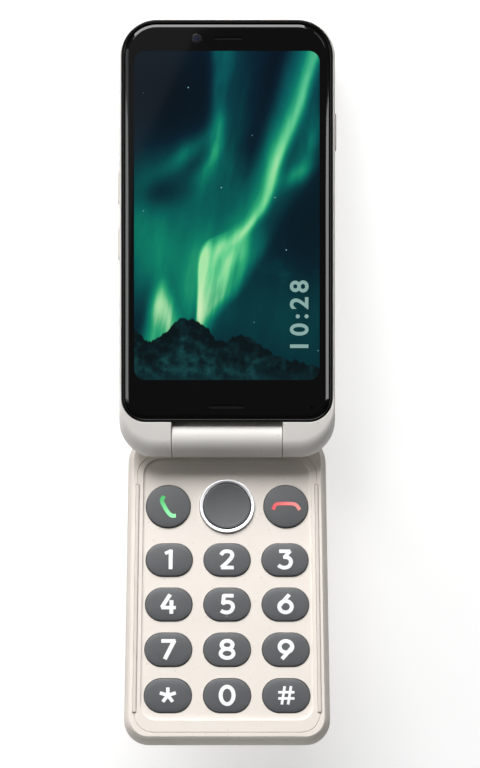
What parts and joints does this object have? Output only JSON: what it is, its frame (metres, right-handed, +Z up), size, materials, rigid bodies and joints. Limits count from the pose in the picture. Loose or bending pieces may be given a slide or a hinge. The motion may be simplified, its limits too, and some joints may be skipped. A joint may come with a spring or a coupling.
{
  "type": "flip mobile phone",
  "caption": "Open flip mobile phone: a glass-fronted display half hinged at its lower end to a shorter keypad flap with large raised dial keys, call and end keys and a navigation ring.",
  "frame": {"origin": "middle of the open phone's bounding box, on the surface it rests on", "axes": "+Z up, +Y from the keypad flap to the top end of the display half, +X to the right as a user sees the keys"},
  "size_m": [0.0662, 0.2142, 0.0444],
  "materials": {
    "cream_shell": "fine satin texture with small grey and pink speckles",
    "bezel_black": "gloss black",
    "cover_glass": "polished, black printed border behind it",
    "screen": "lit picture of a green night sky",
    "key_grey": "satin, white printed digits",
    "assistance_grey": "satin",
    "nav_metal": "satin silver",
    "bumper_rubber": "soft matte",
    "silicone": "matte",
    "steel": "bright",
    "chassis_alloy": "cast, matte",
    "battery_can": "dark wrapped can",
    "circuit_board": "green solder mask",
    "polyimide": "amber film",
    "lens_black": "gloss black",
    "speaker_mesh": "fine woven mesh",
    "led_diffuser": "clear, yellow phosphor",
    "sensor_brass": "plated"
  },
  "bodies": {
    "display_half": {"rear_housing": "cream_shell", "battery_cover": "cream_shell", "display_bezel": "bezel_black", "cover_glass": "cover_glass", "display_panel": "screen", "chassis_frame": "chassis_alloy", "main_board": "circuit_board", "shield_cans": "steel", "battery": "battery_can", "rear_camera": "lens_black", "camera_window": "lens_black", "flash_led": "led_diffuser", "front_camera": "lens_black", "earpiece_speaker": "lens_black", "earpiece_mesh": "speaker_mesh", "loudspeaker": "lens_black", "loudspeaker_mesh": "speaker_mesh", "vibration_motor": "steel", "usb_c_port": "steel", "microphone": "sensor_brass", "hinge_shaft": "steel", "pivot_bush": "steel", "flex_cable": "polyimide", "housing_screws": "steel"},
    "keypad_flap": {"keypad_front_cover": "cream_shell", "keypad_rear_shell": "cream_shell", "hinge_barrel": "cream_shell", "hinge_cartridge": "steel", "hinge_spring": "steel", "hinge_cam": "steel", "keymat": "silicone", "dome_sheet": "steel", "keypad_board": "circuit_board", "keypad_flex": "polyimide", "left_bumper": "bumper_rubber", "right_bumper": "bumper_rubber", "closing_magnet": "steel", "flap_screws": "steel"},
    "power_key": {"power_key": "cream_shell"},
    "volume_up_key": {"volume_up_key": "cream_shell"},
    "volume_down_key": {"volume_down_key": "cream_shell"},
    "assistance_button": {"assistance_button": "assistance_grey"},
    "key_1": {"key_1": "key_grey"},
    "key_2": {"key_2": "key_grey"},
    "key_3": {"key_3": "key_grey"},
    "key_4": {"key_4": "key_grey"},
    "key_5": {"key_5": "key_grey"},
    "key_6": {"key_6": "key_grey"},
    "key_7": {"key_7": "key_grey"},
    "key_8": {"key_8": "key_grey"},
    "key_9": {"key_9": "key_grey"},
    "key_star": {"key_star": "key_grey"},
    "key_0": {"key_0": "key_grey"},
    "key_hash": {"key_hash": "key_grey"},
    "call_key": {"call_key": "key_grey"},
    "end_key": {"end_key": "key_grey"},
    "ok_key": {"ok_key": "key_grey"},
    "nav_gimbal": {"nav_gimbal": "silicone"},
    "nav_ring": {"nav_ring": "nav_metal"}
  },
  "joints": [
    {"name": "flap_hinge", "type": "hinge", "parent": "display_half", "child": "keypad_flap", "pos_m": [0, -0.01937, 0.01483], "axis": [-1, 0, 0], "range_deg": [0, 161]},
    {"name": "key_1_press", "type": "slide", "parent": "keypad_flap", "child": "key_1", "axis": [0, -0.3957, -0.9184], "range_m": [0, 0.0004], "stiffness_N_per_m": 400},
    {"name": "key_2_press", "type": "slide", "parent": "keypad_flap", "child": "key_2", "axis": [0, -0.3957, -0.9184], "range_m": [0, 0.0004], "stiffness_N_per_m": 400},
    {"name": "key_3_press", "type": "slide", "parent": "keypad_flap", "child": "key_3", "axis": [0, -0.3957, -0.9184], "range_m": [0, 0.0004], "stiffness_N_per_m": 400},
    {"name": "key_4_press", "type": "slide", "parent": "keypad_flap", "child": "key_4", "axis": [0, -0.3957, -0.9184], "range_m": [0, 0.0004], "stiffness_N_per_m": 400},
    {"name": "key_5_press", "type": "slide", "parent": "keypad_flap", "child": "key_5", "axis": [0, -0.3957, -0.9184], "range_m": [0, 0.0004], "stiffness_N_per_m": 400},
    {"name": "key_6_press", "type": "slide", "parent": "keypad_flap", "child": "key_6", "axis": [0, -0.3957, -0.9184], "range_m": [0, 0.0004], "stiffness_N_per_m": 400},
    {"name": "key_7_press", "type": "slide", "parent": "keypad_flap", "child": "key_7", "axis": [0, -0.3957, -0.9184], "range_m": [0, 0.0004], "stiffness_N_per_m": 400},
    {"name": "key_8_press", "type": "slide", "parent": "keypad_flap", "child": "key_8", "axis": [0, -0.3957, -0.9184], "range_m": [0, 0.0004], "stiffness_N_per_m": 400},
    {"name": "key_9_press", "type": "slide", "parent": "keypad_flap", "child": "key_9", "axis": [0, -0.3957, -0.9184], "range_m": [0, 0.0004], "stiffness_N_per_m": 400},
    {"name": "key_star_press", "type": "slide", "parent": "keypad_flap", "child": "key_star", "axis": [0, -0.3957, -0.9184], "range_m": [0, 0.0004], "stiffness_N_per_m": 400},
    {"name": "key_0_press", "type": "slide", "parent": "keypad_flap", "child": "key_0", "axis": [0, -0.3957, -0.9184], "range_m": [0, 0.0004], "stiffness_N_per_m": 400},
    {"name": "key_hash_press", "type": "slide", "parent": "keypad_flap", "child": "key_hash", "axis": [0, -0.3957, -0.9184], "range_m": [0, 0.0004], "stiffness_N_per_m": 400},
    {"name": "call_key_press", "type": "slide", "parent": "keypad_flap", "child": "call_key", "axis": [0, -0.3957, -0.9184], "range_m": [0, 0.0004], "stiffness_N_per_m": 400},
    {"name": "end_key_press", "type": "slide", "parent": "keypad_flap", "child": "end_key", "axis": [0, -0.3957, -0.9184], "range_m": [0, 0.0004], "stiffness_N_per_m": 400},
    {"name": "ok_key_press", "type": "slide", "parent": "keypad_flap", "child": "ok_key", "axis": [0, -0.3957, -0.9184], "range_m": [0, 0.0004], "stiffness_N_per_m": 400},
    {"name": "nav_tilt_up_down", "type": "hinge", "parent": "keypad_flap", "child": "nav_gimbal", "pos_m": [0, -0.04049, 0.01468], "axis": [1, 0, 0], "range_deg": [-1.2, 1.2], "stiffness_Nm_per_rad": 0.4},
    {"name": "nav_tilt_left_right", "type": "hinge", "parent": "nav_gimbal", "child": "nav_ring", "pos_m": [0, -0.04049, 0.01468], "axis": [0, 0.9184, -0.3957], "range_deg": [-1.2, 1.2], "stiffness_Nm_per_rad": 0.4},
    {"name": "power_press", "type": "slide", "parent": "display_half", "child": "power_key", "axis": [-1, 0, 0], "range_m": [0, 0.0003], "stiffness_N_per_m": 600},
    {"name": "volume_up_press", "type": "slide", "parent": "display_half", "child": "volume_up_key", "axis": [1, 0, 0], "range_m": [0, 0.0003], "stiffness_N_per_m": 600},
    {"name": "volume_down_press", "type": "slide", "parent": "display_half", "child": "volume_down_key", "axis": [1, 0, 0], "range_m": [0, 0.0003], "stiffness_N_per_m": 600},
    {"name": "assistance_press", "type": "slide", "parent": "display_half", "child": "assistance_button", "axis": [0, 0.0752, 0.9972], "range_m": [0, 0.0003], "stiffness_N_per_m": 600}
  ]
}
